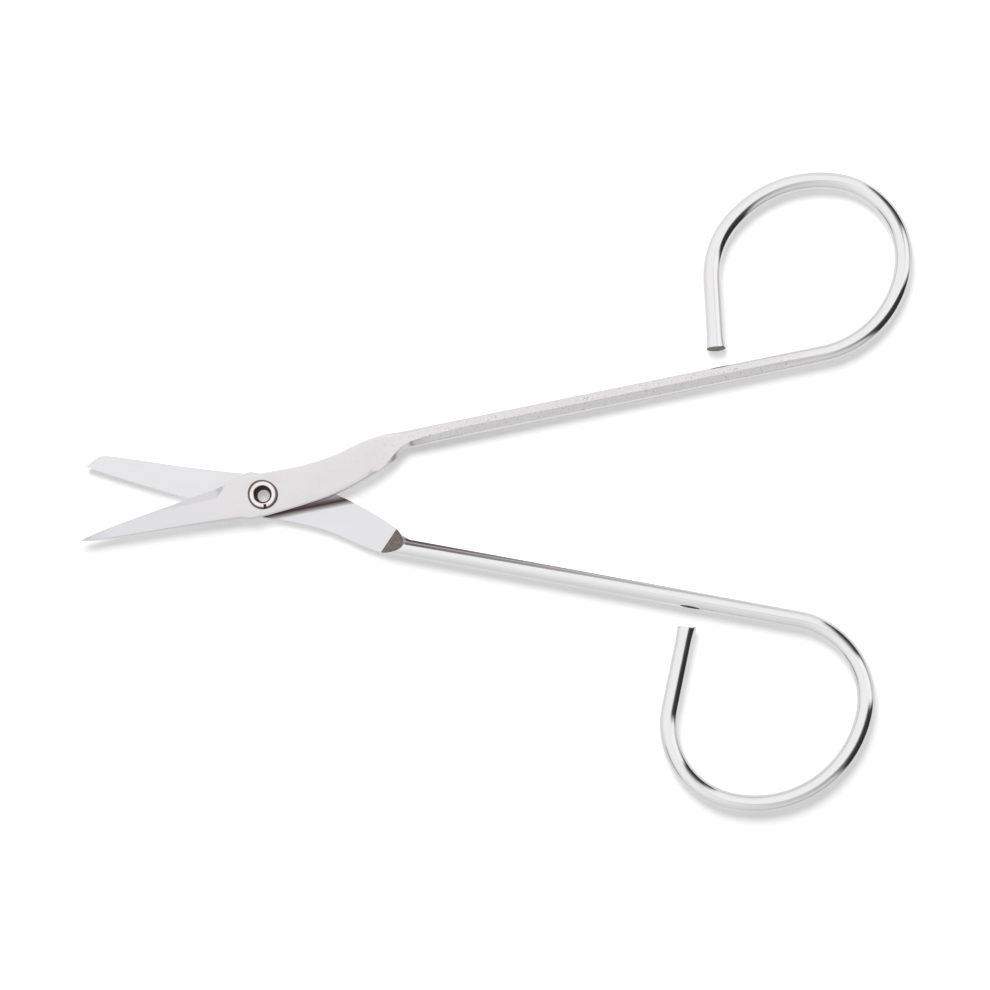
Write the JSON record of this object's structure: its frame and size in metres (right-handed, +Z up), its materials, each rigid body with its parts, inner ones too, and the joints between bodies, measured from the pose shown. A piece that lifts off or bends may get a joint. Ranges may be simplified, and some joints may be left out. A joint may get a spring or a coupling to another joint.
{
  "type": "wire-handled thread scissors",
  "caption": "Small pivoting scissors forged from round wire, with a pointed and a blunt blade, open finger loops and a hollow eyelet pivot, for snipping thread.",
  "frame": {"origin": "below the middle of the open scissors' box, on the surface they lie on", "axes": "+X from the blade tips to the finger loops, +Y towards the pointed half's finger loop, +Z up through the pivot"},
  "size_m": [0.1084, 0.0836, 0.003],
  "materials": {
    "plated_wire_steel": "nickel plate over steel wire, polished on the round wire, satin where the die pressed and the wheel ground it",
    "plated_eyelet_brass": "bright nickel plate over drawn brass, dull in the bore"
  },
  "bodies": {
    "blunt_side": {"blunt_half": "plated_wire_steel", "pivot_eyelet": "plated_eyelet_brass"},
    "pointed_side": {"pointed_half": "plated_wire_steel"}
  },
  "joints": [
    {"name": "blade_pivot", "type": "hinge", "parent": "blunt_side", "child": "pointed_side", "pos_m": [-0.03053, -0.00074, 0.00152], "axis": [0, 0, 1], "range_deg": [-25.2, 135]}
  ]
}
